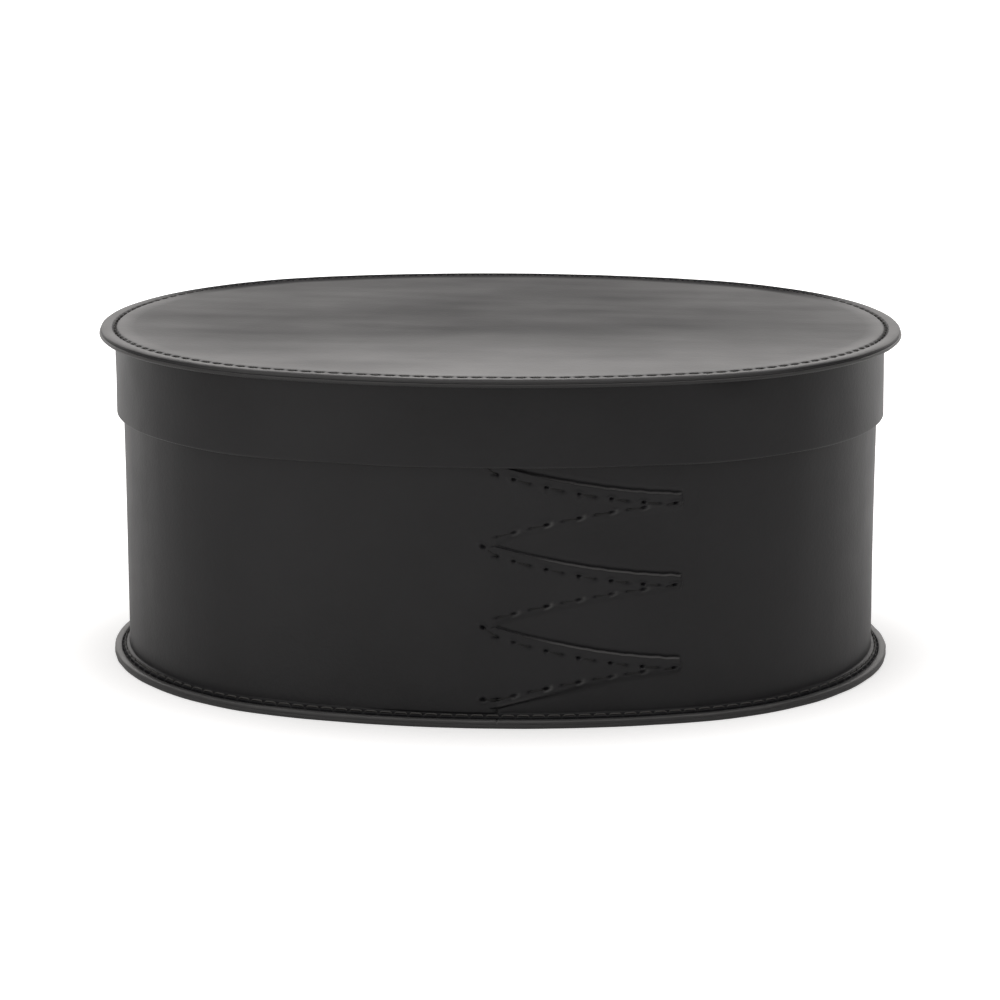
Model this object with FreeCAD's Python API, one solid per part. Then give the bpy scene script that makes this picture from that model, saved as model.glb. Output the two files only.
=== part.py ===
"""Oval lidded box sewn from black leather, in millimetres, +Z up.

The outline is an oval of four arcs: two ends and two flatter sides. A strip of
leather stands on edge round it, its foot turned outwards over the sole and
sewn down in a groove. The strip's end is cut into long swallowtail fingers
and sewn over its own start at the front. The lid is made the same way upside
down: a band whose top is turned outwards under an oval top and sewn to it.

The origin is the middle of the underside. +X runs along the box, the fingers
point to +X and lie on the front, which faces -Y. Every outline is the brim's
oval moved inwards by an inset, and every place on the front is a distance
along the front, from the middle towards +X.
"""

import FreeCAD, Part
import math
import os
from FreeCAD import Vector

# Outline of the lid's brim, which is the widest part of the box, and the height.
BRIM_LENGTH = 270.0
BRIM_WIDTH = 204.0
END_RADIUS = 96.0
BOX_HEIGHT = 113.0

# Sole: the flat oval under the box.
SOLE_INSET = 2.4
SOLE_THICKNESS = 1.4

# Wall strip: stands on the sole, its foot turned outwards to the sole's edge.
WALL_INSET = 7.7
WALL_THICKNESS = 1.2
WALL_BEND = 1.0

# Linings, glued inside the box.
WALL_LINING_THICKNESS = 0.7
WALL_LINING_SEAM = 0.3
SOLE_LINING_THICKNESS = 1.0
LINING_CLEARANCE = 0.2

# Lid: a top and a band that goes down over the upper end of the wall.
LID_THICKNESS = 1.4
BAND_INSET = 5.4
BAND_THICKNESS = 1.2
BAND_HEIGHT = 27.8
BAND_BEND = 0.6
LID_LINING_THICKNESS = 0.8
LID_SEAT_GAP = 0.1

# Cut edges of the leather are rounded over.
BRIM_ROUND = 0.5
SEAM_ROUND = 0.25
MOUTH_ROUND = 0.3

# Lap of a strip: its fingered end lies over its start, pared down behind the fingers.
LAP_RISE = 0.8
LAP_BACKING = 10.0
LAP_RAMP = 34.0
FINGER_ROOT = 2.6
FINGER_LENGTH = 59.4
FINGER_BOW = 1.6
FINGER_DROOP = 0.5
TIP_WIDTH = 6.0
TIP_ROUND = 1.2
WALL_FINGERS = 4
WALL_LAP_FOOT = 2.4
WALL_LAP_HEAD = 0.3
BAND_FINGERS = 1
BAND_LAP_FOOT = 1.2
BAND_LAP_HEAD = 2.4

# Thread, and the grooves that it lies in round both rims.
THREAD_DIAMETER = 0.6
GROOVE_WIDTH = 0.9
SOLE_GROOVE_MARGIN = 0.5
LID_GROOVE_MARGIN = 0.1
FLOOR_CLEARANCE = 0.2
SOLE_STITCH_PITCH = 4.9
LID_STITCH_PITCH = 4.6
RIM_STITCH_LENGTH = 3.6

# Running stitch along the fingers, pulled down into the leather.
LAP_STITCH_PITCH = 10.55
LAP_STITCH_LENGTH = 5.2
TIP_STITCH_LENGTH = 2.4
TIP_STITCH_SLANT = 0.4
SEAM_EDGE_MARGIN = 3.2
SEAM_TIP_MARGIN = 1.5
SEAM_NOTCH_MARGIN = 4.5
THREAD_PROUD = 0.1
THREAD_CLEARANCE = 0.05

# How far a cutting outline runs past what it bounds, and a lap into its strip.
OVERRUN = 2.0
BITE = 0.4

# Levels and insets that follow from the sizes above.
FLANGE_TOP = SOLE_THICKNESS + WALL_THICKNESS
LID_UNDERSIDE = BOX_HEIGHT - LID_THICKNESS
BAND_FLANGE = LID_UNDERSIDE - BAND_THICKNESS
BAND_FOOT = LID_UNDERSIDE - BAND_HEIGHT
LID_LINING_FOOT = LID_UNDERSIDE - LID_LINING_THICKNESS
WALL_TOP = LID_LINING_FOOT - LID_SEAT_GAP
WALL_INNER = WALL_INSET + WALL_THICKNESS
BAND_INNER = BAND_INSET + BAND_THICKNESS
LINING_INNER = WALL_INNER + WALL_LINING_THICKNESS
GROOVE_DEPTH = THREAD_DIAMETER
SOLE_GROOVE_DEPTH = THREAD_DIAMETER + FLOOR_CLEARANCE
SOLE_SEAM = WALL_INSET - WALL_BEND - SOLE_GROOVE_MARGIN - GROOVE_WIDTH / 2
LID_SEAM = BAND_INSET - BAND_BEND - LID_GROOVE_MARGIN - GROOVE_WIDTH / 2
FINGER_TIP = FINGER_ROOT + FINGER_LENGTH
LAP_START = -LAP_BACKING - LAP_RAMP

# The four arcs of the oval. Each side's centre lies beyond the middle of the box.
HALF_WIDTH = BRIM_WIDTH / 2
END_CENTRE = BRIM_LENGTH / 2 - END_RADIUS
SIDE_BULGE = HALF_WIDTH - END_RADIUS
SIDE_CENTRE = (END_CENTRE**2 - SIDE_BULGE**2) / (2 * SIDE_BULGE)
SIDE_RADIUS = HALF_WIDTH + SIDE_CENTRE
SIDE_HALF_ANGLE = math.atan2(END_CENTRE, SIDE_CENTRE)
FRONT_RADIUS = SIDE_RADIUS - WALL_INSET

QUARTER = math.pi / 2
HALF_TURN = 180
UP = Vector(0, 0, 1)
ORIGIN = Vector(0, 0, 0)
DIAGONAL = math.sqrt(0.5)


def oval_arcs(inset):
    """Centre, radius, first angle and sweep of each arc, anticlockwise from the front."""
    side_sweep = 2 * SIDE_HALF_ANGLE
    end_sweep = math.pi - side_sweep
    side = SIDE_RADIUS - inset
    end = END_RADIUS - inset
    return [
        (Vector(0, SIDE_CENTRE, 0), side, -QUARTER - SIDE_HALF_ANGLE, side_sweep),
        (Vector(END_CENTRE, 0, 0), end, -end_sweep / 2, end_sweep),
        (Vector(0, -SIDE_CENTRE, 0), side, QUARTER - SIDE_HALF_ANGLE, side_sweep),
        (Vector(-END_CENTRE, 0, 0), end, math.pi - end_sweep / 2, end_sweep),
    ]


def on_circle(centre, radius, angle, z=0.0):
    """Point of a level circle."""
    return centre + Vector(radius * math.cos(angle), radius * math.sin(angle), z)


def on_oval(inset, distance, z):
    """Point at a distance along the oval, anticlockwise, and its heading there."""
    for centre, radius, first, sweep in oval_arcs(inset):
        if distance <= radius * sweep:
            break
        distance -= radius * sweep
    angle = first + distance / radius
    return on_circle(centre, radius, angle, z), on_circle(ORIGIN, 1, angle + QUARTER)


def on_front(along, inset, z=0.0):
    """Point at a distance along the front side's arc."""
    centre = Vector(0, SIDE_CENTRE, 0)
    return on_circle(centre, SIDE_RADIUS - inset, along / FRONT_RADIUS - QUARTER, z)


def line(start, end):
    return Part.LineSegment(start, end).toShape()


def arc(start, middle, end):
    return Part.Arc(start, middle, end).toShape()


def oval_plate(inset, foot, top):
    """Flat oval with square edges."""
    edges = []
    for centre, radius, first, sweep in oval_arcs(inset):
        shares = (0, 0.5, 1)
        edges.append(arc(*[on_circle(centre, radius, first + sweep * share, foot) for share in shares]))
    return Part.Face(Part.Wire(edges)).extrude(UP * (top - foot))


def rounded_face(corners, place):
    """Face through right-angled corners (inset, height, radius), in the plane that place gives."""
    points = [place(inset, z) for inset, z, _ in corners]
    turns = []
    for number, (_, _, radius) in enumerate(corners):
        point = points[number]
        back = (points[number - 1] - point).normalize() * radius
        ahead = (points[(number + 1) % len(points)] - point).normalize() * radius
        turns.append((point + back, point + (back + ahead) * (1 - DIAGONAL), point + ahead))
    edges = []
    for number, (start, middle, end) in enumerate(turns):
        edges.append(line(turns[number - 1][2], start))
        if corners[number][2]:
            edges.append(arc(start, middle, end))
    return Part.Face(Part.Wire(edges))


def moulding(corners):
    """Solid with one profile all the way round the oval."""
    lengths = []
    for centre, radius, first, sweep in oval_arcs(0):

        def place(inset, z):
            return on_circle(centre, radius - inset, first, z)

        lengths.append(rounded_face(corners, place).revolve(centre, UP, math.degrees(sweep)))
    return lengths[0].fuse(lengths[1:]).removeSplitter()


def groove(seam, level, floor):
    """Corners of a thread groove in a level face, from its outer to its inner side."""
    outer = seam - GROOVE_WIDTH / 2
    inner = seam + GROOVE_WIDTH / 2
    return [(outer, level, 0), (outer, floor, 0), (inner, floor, 0), (inner, level, 0)]


def thread_bar(start, end, diameter):
    """Straight bit of thread with round ends, its tips at two points."""
    radius = diameter / 2
    way = (end - start).normalize()
    side = way.cross(UP).cross(way).normalize() * radius
    first = start + way * radius
    last = end - way * radius
    near = first + (side - way * radius) * DIAGONAL
    far = last + (side + way * radius) * DIAGONAL
    outline = [
        arc(start, near, first + side),
        line(first + side, last + side),
        arc(last + side, far, end),
        line(end, start),
    ]
    return Part.Face(Part.Wire(outline)).revolve(start, way, 360)


def rim_stitches(seam, pitch, levels):
    """Evenly spaced stitches round the oval, at the height of each level's thread."""
    length = sum(radius * sweep for _, radius, _, sweep in oval_arcs(seam))
    count = round(length / pitch)
    bars = []
    for level in levels:
        for number in range(count):
            middle, heading = on_oval(seam, length * (number + 0.5) / count, level)
            half = heading * (RIM_STITCH_LENGTH / 2)
            bars.append(thread_bar(middle - half, middle + half, THREAD_DIAMETER))
    return Part.makeCompound(bars)


def fingers(low, high, count):
    """Heights of the lower root, the tip and the upper root of each finger of a lap."""
    width = (high - low) / count
    roots = [low + width * number for number in range(count)]
    return [(root, root + width / 2 - FINGER_DROOP, root + width) for root in roots]


def comb_face(foot, low, high, top, count):
    """Outline of a lap seen from the front: a plain end with fingers towards +X."""

    def place(along, z):
        return Vector(FRONT_RADIUS * math.sin(along / FRONT_RADIUS), -HALF_WIDTH, z)

    start = LAP_START - OVERRUN
    middle = (FINGER_ROOT + FINGER_TIP) / 2
    corner = FINGER_TIP - TIP_ROUND
    edges = [
        line(place(start, top), place(start, foot)),
        line(place(start, foot), place(FINGER_ROOT, foot)),
        line(place(FINGER_ROOT, foot), place(FINGER_ROOT, low)),
    ]
    for lower, tip, upper in fingers(low, high, count):
        tip_low = tip - TIP_WIDTH / 2
        tip_high = tip + TIP_WIDTH / 2
        under = place(middle, (lower + tip_low) / 2 + FINGER_BOW)
        over = place(middle, (upper + tip_high) / 2 - FINGER_BOW)
        edges.append(arc(place(FINGER_ROOT, lower), under, place(corner, tip_low)))
        edges.append(arc(place(corner, tip_low), place(FINGER_TIP, tip), place(corner, tip_high)))
        edges.append(arc(place(corner, tip_high), over, place(FINGER_ROOT, upper)))
    edges.append(line(place(FINGER_ROOT, high), place(FINGER_ROOT, top)))
    edges.append(line(place(FINGER_ROOT, top), place(start, top)))
    return Part.Face(Part.Wire(edges))


def lap_layer(face_inset, foot, low, high, top, count):
    """Outer layer of a lap, from the pared stretch to the finger tips."""

    def level_arc(first, last, first_inset, last_inset):
        middle = on_front((first + last) / 2, (first_inset + last_inset) / 2, foot)
        return arc(on_front(first, first_inset, foot), middle, on_front(last, last_inset, foot))

    sunk = face_inset + BITE
    proud = face_inset - LAP_RISE
    end = FINGER_TIP + OVERRUN
    edges = [
        level_arc(LAP_START, -LAP_BACKING, sunk, proud),
        level_arc(-LAP_BACKING, end, proud, proud),
        line(on_front(end, proud, foot), on_front(end, sunk, foot)),
        level_arc(end, LAP_START, sunk, sunk),
    ]
    layer = Part.Face(Part.Wire(edges)).extrude(UP * (top - foot))
    comb = comb_face(foot, low, high, top, count).extrude(Vector(0, HALF_WIDTH / 2, 0))
    return layer.common(comb)


def leg_stitches(root, tip, bow, offset):
    """Stitches along one edge of a finger, each starting at an offset from its hole."""
    tip_hole = FINGER_TIP - SEAM_TIP_MARGIN

    def on_leg(along):
        share = (along - FINGER_ROOT) / (tip_hole - FINGER_ROOT)
        return along, root + (tip - root) * share + 4 * bow * share * (1 - share)

    count = int((tip_hole - FINGER_ROOT) / LAP_STITCH_PITCH)
    starts = [tip_hole - number * LAP_STITCH_PITCH + offset for number in range(1, count + 1)]
    return [(on_leg(start), on_leg(start + LAP_STITCH_LENGTH)) for start in starts]


def seam_stitches(low, high, count):
    """Both ends of each stitch of a lap, as distances along the front and heights."""
    tip_hole = FINGER_TIP - SEAM_TIP_MARGIN
    notch_hole = FINGER_ROOT - SEAM_NOTCH_MARGIN
    foot = low + SEAM_EDGE_MARGIN
    stitches = [((notch_hole, foot), (FINGER_ROOT, foot))]
    for lower, tip, upper in fingers(low, high, count):
        stitches += leg_stitches(lower + SEAM_EDGE_MARGIN, tip, FINGER_BOW, -LAP_STITCH_LENGTH)
        stitches += leg_stitches(upper - SEAM_EDGE_MARGIN, tip, -FINGER_BOW, 0)
        lean = TIP_STITCH_SLANT / 2
        stitches.append(((tip_hole - TIP_STITCH_LENGTH, tip - lean), (tip_hole, tip + lean)))
    for lower, _, _ in fingers(low, high, count)[1:]:
        stitches.append(((notch_hole, lower), (FINGER_ROOT, lower - SEAM_EDGE_MARGIN)))
    return stitches


def seam_bars(face_inset, low, high, count, clearance=0.0):
    """Stitches of a lap or, with a clearance, the pockets that they press into the leather."""
    axis = face_inset - LAP_RISE + THREAD_DIAMETER / 2 - THREAD_PROUD
    bars = []
    for first, last in seam_stitches(low, high, count):
        start = on_front(first[0], axis, first[1])
        end = on_front(last[0], axis, last[1])
        spare = (end - start).normalize() * clearance
        bars.append(thread_bar(start - spare, end + spare, THREAD_DIAMETER + 2 * clearance))
    return bars


def lapped(strip, foot, top, face_inset, low, high, count):
    """Strip with its fingered end laid over it and the pockets of the seam pressed in."""
    layer = lap_layer(face_inset, foot, low, high, top, count)
    pockets = seam_bars(face_inset, low, high, count, THREAD_CLEARANCE)
    return strip.fuse(layer).removeSplitter().cut(pockets)


def to_back(shape):
    """The same shape on the other side of the box."""
    turned = shape.copy()
    turned.rotate(ORIGIN, UP, HALF_TURN)
    return turned


# Face that each lap lies on, where its fingers start and end upwards, and their number.
WALL_LAP = (WALL_INSET, FLANGE_TOP + WALL_LAP_FOOT, WALL_TOP - WALL_LAP_HEAD, WALL_FINGERS)
BAND_LAP = (BAND_INSET, BAND_FOOT + BAND_LAP_FOOT, BAND_FLANGE - BAND_LAP_HEAD, BAND_FINGERS)


def sole_panel():
    """Oval of stiff leather with a groove in its underside for the thread."""
    core = oval_plate(WALL_INNER, 0, SOLE_THICKNESS)
    rim = moulding(
        [
            (SOLE_INSET, 0, BRIM_ROUND),
            *groove(SOLE_SEAM, 0, SOLE_GROOVE_DEPTH),
            (WALL_INNER, 0, 0),
            (WALL_INNER, SOLE_THICKNESS, 0),
            (SOLE_INSET, SOLE_THICKNESS, SEAM_ROUND),
        ]
    )
    return core.fuse(rim).removeSplitter()


def wall_strip():
    """Strip on edge, its foot turned outwards and grooved, its end lapped in fingers."""
    strip = moulding(
        [
            (SOLE_INSET, FLANGE_TOP, BRIM_ROUND),
            *groove(SOLE_SEAM, FLANGE_TOP, FLANGE_TOP - GROOVE_DEPTH),
            (WALL_INSET, FLANGE_TOP, WALL_BEND),
            (WALL_INSET, WALL_TOP, MOUTH_ROUND),
            (WALL_INNER, WALL_TOP, MOUTH_ROUND),
            (WALL_INNER, SOLE_THICKNESS, WALL_BEND + WALL_THICKNESS),
            (SOLE_INSET, SOLE_THICKNESS, SEAM_ROUND),
        ]
    )
    return lapped(strip, FLANGE_TOP - BITE, WALL_TOP, *WALL_LAP)


def wall_lining():
    """Thin lining round the inside of the wall, its ends butted at the back."""
    ring = oval_plate(WALL_INNER, SOLE_THICKNESS, WALL_TOP)
    ring = ring.cut(oval_plate(LINING_INNER, SOLE_THICKNESS, WALL_TOP))
    corner = Vector(-WALL_LINING_SEAM / 2, 0, SOLE_THICKNESS)
    return ring.cut(Part.makeBox(WALL_LINING_SEAM, HALF_WIDTH, WALL_TOP - SOLE_THICKNESS, corner))


def sole_lining():
    """Lining pad on the sole, inside the lined wall."""
    top = SOLE_THICKNESS + SOLE_LINING_THICKNESS
    return oval_plate(LINING_INNER + LINING_CLEARANCE, SOLE_THICKNESS, top)


def sole_stitching():
    """Thread round the foot: one run in the flange's groove and one under the sole."""
    radius = THREAD_DIAMETER / 2
    levels = (FLANGE_TOP - GROOVE_DEPTH + radius, SOLE_GROOVE_DEPTH - radius)
    return rim_stitches(SOLE_SEAM, SOLE_STITCH_PITCH, levels)


def lap_stitching():
    """Running stitch that holds the fingers of the wall down."""
    return Part.makeCompound(seam_bars(*WALL_LAP))


def lid_top():
    """Oval top with a groove near its edge for the thread."""
    core = oval_plate(BAND_INNER, LID_UNDERSIDE, BOX_HEIGHT)
    rim = moulding(
        [
            (0, BOX_HEIGHT, BRIM_ROUND),
            *groove(LID_SEAM, BOX_HEIGHT, BOX_HEIGHT - GROOVE_DEPTH),
            (BAND_INNER, BOX_HEIGHT, 0),
            (BAND_INNER, LID_UNDERSIDE, 0),
            (0, LID_UNDERSIDE, SEAM_ROUND),
        ]
    )
    return core.fuse(rim).removeSplitter()


def lid_band():
    """Band under the top, its upper edge turned outwards, lapped at the back."""
    strip = moulding(
        [
            (0, BAND_FLANGE, BRIM_ROUND),
            *groove(LID_SEAM, BAND_FLANGE, BAND_FLANGE + GROOVE_DEPTH),
            (BAND_INSET, BAND_FLANGE, BAND_BEND),
            (BAND_INSET, BAND_FOOT, MOUTH_ROUND),
            (BAND_INNER, BAND_FOOT, MOUTH_ROUND),
            (BAND_INNER, LID_UNDERSIDE, BAND_BEND + BAND_THICKNESS),
            (0, LID_UNDERSIDE, SEAM_ROUND),
        ]
    )
    return to_back(lapped(strip, BAND_FOOT, BAND_FLANGE - BAND_BEND, *BAND_LAP))


def lid_lining():
    """Lining under the lid's top, which rests on the wall."""
    return oval_plate(BAND_INNER + LINING_CLEARANCE, LID_LINING_FOOT, LID_UNDERSIDE)


def lid_stitching():
    """Thread round the brim: one run in the top's groove and one under the flange."""
    radius = THREAD_DIAMETER / 2
    levels = (BOX_HEIGHT - GROOVE_DEPTH + radius, BAND_FLANGE + GROOVE_DEPTH - radius)
    return rim_stitches(LID_SEAM, LID_STITCH_PITCH, levels)


def band_stitching():
    """Running stitch that holds the finger of the lid's band down."""
    return to_back(Part.makeCompound(seam_bars(*BAND_LAP)))


PIECES = [
    sole_panel,
    wall_strip,
    wall_lining,
    sole_lining,
    sole_stitching,
    lap_stitching,
    lid_top,
    lid_band,
    lid_lining,
    lid_stitching,
    band_stitching,
]

os.makedirs("parts", exist_ok=True)
for piece in PIECES:
    piece().exportStep(f"parts/{piece.__name__}.step")
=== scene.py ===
import math

import bpy
import numpy as np
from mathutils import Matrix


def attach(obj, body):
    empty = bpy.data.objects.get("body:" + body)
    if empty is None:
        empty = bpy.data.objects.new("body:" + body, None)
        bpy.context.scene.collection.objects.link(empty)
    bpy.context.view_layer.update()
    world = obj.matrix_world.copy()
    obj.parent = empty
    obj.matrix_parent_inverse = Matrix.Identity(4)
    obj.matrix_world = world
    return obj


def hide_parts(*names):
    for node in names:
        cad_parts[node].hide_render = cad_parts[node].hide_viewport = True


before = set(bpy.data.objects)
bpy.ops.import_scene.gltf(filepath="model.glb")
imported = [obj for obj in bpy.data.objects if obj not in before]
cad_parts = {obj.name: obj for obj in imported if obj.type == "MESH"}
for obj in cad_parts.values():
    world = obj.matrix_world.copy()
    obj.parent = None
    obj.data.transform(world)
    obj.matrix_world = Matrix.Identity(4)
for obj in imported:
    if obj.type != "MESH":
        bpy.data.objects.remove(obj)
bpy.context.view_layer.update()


# Sole: a stiff oval of black vegetable-tanned leather under the box. It is cut with a
# knife, its edge is burnished, and it is sewn to the turned-out foot of the wall with
# the thread in a groove, so that it never touches the table.

# Sizes are in millimetres, and an inset is measured inwards from the outline of the brim.
MM = 0.001
END_RADIUS = 96.0
END_CENTRE = 39.0
SIDE_CENTRE = 123.75
SIDE_RADIUS = 225.75
SIDE_TURN = math.atan2(END_CENTRE, SIDE_CENTRE)
MIDDLE = END_RADIUS - 2
SOLE_EDGE = 2.4
SOLE_TOP = 1.4
SOLE_SEAM = 5.75
SOLE_STITCHES = 148


def oval_ends(inset):
    """Distances along the oval at which its arcs end, from the front middle towards +X."""
    side = (SIDE_RADIUS - inset) * SIDE_TURN
    end = (END_RADIUS - inset) * (math.pi - 2 * SIDE_TURN)
    return np.cumsum([0, side, end, side, side, end, side])


def oval_path(distance, inset):
    """Centre, reach of the brim and outward direction at distances along the oval."""
    ends = oval_ends(inset)
    end_turn = math.pi - 2 * SIDE_TURN
    turns = [-math.pi / 2, SIDE_TURN, end_turn, SIDE_TURN, SIDE_TURN, end_turn, SIDE_TURN]
    distance = np.mod(distance, ends[-1])
    angle = np.interp(distance, ends, np.cumsum(turns))
    part = np.clip(np.searchsorted(ends, distance, side="right") - 1, 0, 5)
    x = np.array([0, END_CENTRE, 0, 0, -END_CENTRE, 0])[part]
    y = np.array([SIDE_CENTRE, 0, -SIDE_CENTRE, -SIDE_CENTRE, 0, SIDE_CENTRE])[part]
    reach = np.array([SIDE_RADIUS, END_RADIUS, SIDE_RADIUS, SIDE_RADIUS, END_RADIUS, SIDE_RADIUS])[part]
    return x, y, reach, np.cos(angle), np.sin(angle)


def on_path(path, inset, z):
    """Points at an inset from the brim and a height, for each place on a path."""
    x, y, reach, out_x, out_y = path
    reach = reach - inset + 0 * z
    return np.stack([x + reach * out_x, y + reach * out_y, z + 0 * reach], axis=-1)


def bend(inset, z, radius, start, stop, steps):
    """Profile rows round a centre. 0 degrees is outwards, 90 is up."""
    turn = np.radians(np.linspace(start, stop, steps))
    return np.stack([inset - radius * np.cos(turn), z + radius * np.sin(turn)], axis=-1).tolist()


def quads(rows, columns, ring=True, loop=False):
    """Faces between the rows of a grid. They face outwards where the rows go up."""
    index = np.arange(rows * columns).reshape(rows, columns)
    if ring:
        index = np.hstack([index, index[:, :1]])
    if loop:
        index = np.vstack([index, index[:1]])
    corners = [index[:-1, :-1], index[:-1, 1:], index[1:, 1:], index[1:, :-1]]
    return np.stack(corners, axis=-1).reshape(-1, 4).tolist()


def oval_cap(first, columns, upward):
    """Faces across the last narrow oval of a ring whose two sides mirror each other."""
    near = np.arange(-columns // 4, columns // 4)
    far = columns // 2 - near
    faces = np.stack([near, near + 1, far - 1, far], axis=-1) % columns + first
    if not upward:
        faces = faces[:, ::-1]
    return [list(dict.fromkeys(face)) for face in faces.tolist()]


def waves(points, length, seed, count=12):
    """Smooth uneven waves, about -1 to 1, with wavelengths round a length in millimetres."""
    pick = np.random.default_rng(seed)
    total = np.zeros(points.shape[:-1])
    for _ in range(count):
        way = pick.normal(size=3)
        way *= 2 * math.pi / (length * pick.uniform(0.6, 1.8) * np.linalg.norm(way))
        total += np.sin(points @ way + pick.uniform(0, 2 * math.pi))
    return total / math.sqrt(count) / 1.1


def stitch_distances(count, inset, shares):
    """Places along the oval, the same for every stitch, with a needle hole at each share 0."""
    pitch = oval_ends(inset)[-1] / count
    return (np.arange(count)[:, None] + np.array(shares)).ravel() * pitch


def hole_pits(distance, count, inset, radius):
    """1 at each needle hole of a rim, fading to 0 over a radius."""
    pitch = oval_ends(inset)[-1] / count
    off = np.abs(np.mod(distance + pitch / 2, pitch) - pitch / 2)
    return np.exp(-((off / radius) ** 2))


def smooth(share):
    """Soft step from 0 to 1."""
    share = np.clip(share, 0, 1)
    return share * share * (3 - 2 * share)


def leather_piece(name, body, node, points, faces, wear_and_painted_light, finish):
    """A finished piece from points in millimetres.

    Each point has a value: 1 for places lightened by rubbing and for painted highlights, 0 for
    waxed leather, and -1 for raw, dull places and for painted shade.
    """
    mesh = bpy.data.meshes.new(name)
    mesh.from_pydata((points.reshape(-1, 3) * MM).tolist(), [], faces)
    mesh.attributes.new("wear_and_painted_light", "FLOAT", "POINT").data.foreach_set("value", np.ravel(wear_and_painted_light))
    mesh.shade_smooth()
    mesh.materials.append(finish)
    piece = bpy.data.objects.new(name, mesh)
    bpy.context.scene.collection.objects.link(piece)
    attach(piece, body)
    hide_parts(node)


def linear(code):
    """Linear colour of an sRGB hex code."""
    shares = [int(code[i:i + 2], 16) / 255 for i in (1, 3, 5)]
    return [s / 12.92 if s <= 0.04045 else ((s + 0.055) / 1.055) ** 2.4 for s in shares] + [1.0]


def add(tree, kind, inputs, **settings):
    """Adds a node. An input given as a socket is linked to it, any other value is set."""
    node = tree.nodes.new(kind)
    for name, value in settings.items():
        setattr(node, name, value)
    for key, value in inputs.items():
        if isinstance(value, bpy.types.NodeSocket):
            tree.links.new(value, node.inputs[key])
        else:
            node.inputs[key].default_value = value
    return node


# Vegetable-tanned calf, drum-dyed black and finished with wax. It is satin: dark where
# one looks straight at it and pale grey where it is seen at a low angle. The hide shows
# soft patches, the lay of its fibres and a fine grain. Edges are a bit lighter where
# rubbing has reached them and where they get a painted highlight. Creases, grooves, needle
# holes and the other places given painted shade lose the shine of the wax and are darkest.
HIDE_PATCH = 45 * MM
FIBRE_LAY = 9 * MM
PORES = 1.6 * MM
GRAIN = 0.9 * MM
RAW_SHINE = 0.002
WAXED_SHINE = 0.5

calf = bpy.data.materials.new("waxed_black_calf")
calf.use_nodes = True
t = calf.node_tree
surface = t.nodes["Principled BSDF"]
place = add(t, "ShaderNodeTexCoord", {}).outputs["Object"]
hide = add(t, "ShaderNodeTexNoise", {
    "Vector": place, "Scale": 1 / HIDE_PATCH, "Detail": 3.0, "Roughness": 0.55})
flow = add(t, "ShaderNodeMapping", {"Vector": place, "Scale": (0.16, 1.0, 1.0)}, vector_type="POINT")
streak = add(t, "ShaderNodeTexNoise", {
    "Vector": flow.outputs[0], "Scale": 1 / FIBRE_LAY, "Detail": 2.0})
wear_and_painted_light = add(t, "ShaderNodeAttribute", {}, attribute_name="wear_and_painted_light")
dye = add(t, "ShaderNodeMapRange", {
    "Value": hide.outputs["Fac"], "From Min": 0.3, "From Max": 0.7, "To Min": 0.0, "To Max": 1.0})
black = add(t, "ShaderNodeMix", {
    0: dye.outputs[0], 6: linear("#1b1b1d"), 7: linear("#242426")}, data_type="RGBA")
# Raised values lighten the colour, for rubbing and for painted highlights.
rubbed_and_painted_light = add(t, "ShaderNodeMix", {
    0: wear_and_painted_light.outputs["Fac"], 6: black.outputs[2], 7: linear("#525252")}, data_type="RGBA")
t.links.new(rubbed_and_painted_light.outputs[2], surface.inputs["Base Color"])
# Lowered values take away the shine of the wax, for raw places and for painted shade.
shine = add(t, "ShaderNodeMapRange", {
    "Value": wear_and_painted_light.outputs["Fac"], "From Min": -1.0, "From Max": 0.0, "To Min": 0.0, "To Max": 1.0})
shine = add(t, "ShaderNodeMath", {0: shine.outputs[0], 1: 2.0}, operation="POWER")
shine = add(t, "ShaderNodeMath", {
    0: shine.outputs[0], 1: WAXED_SHINE - RAW_SHINE, 2: RAW_SHINE}, operation="MULTIPLY_ADD")
t.links.new(shine.outputs[0], surface.inputs["Specular IOR Level"])
dull = add(t, "ShaderNodeMath", {0: hide.outputs["Fac"], 1: 0.16, 2: 0.33}, operation="MULTIPLY_ADD")
dull = add(t, "ShaderNodeMath", {
    0: streak.outputs["Fac"], 1: 0.05, 2: dull.outputs[0]}, operation="MULTIPLY_ADD")
t.links.new(dull.outputs[0], surface.inputs["Roughness"])
surface.inputs["IOR"].default_value = 1.46
grain = add(t, "ShaderNodeTexVoronoi", {"Vector": place, "Scale": 1 / GRAIN, "Randomness": 0.9})
pores = add(t, "ShaderNodeTexNoise", {"Vector": place, "Scale": 1 / PORES, "Detail": 3.0})
low = add(t, "ShaderNodeBump", {
    "Height": streak.outputs["Fac"], "Strength": 0.3, "Distance": 0.12 * MM})
mid = add(t, "ShaderNodeBump", {
    "Height": pores.outputs["Fac"], "Strength": 0.35, "Distance": 0.12 * MM, "Normal": low.outputs[0]})
top = add(t, "ShaderNodeBump", {
    "Height": grain.outputs["Distance"], "Strength": 0.25, "Distance": 0.06 * MM,
    "Normal": mid.outputs[0]})
t.links.new(top.outputs[0], surface.inputs["Normal"])

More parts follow.
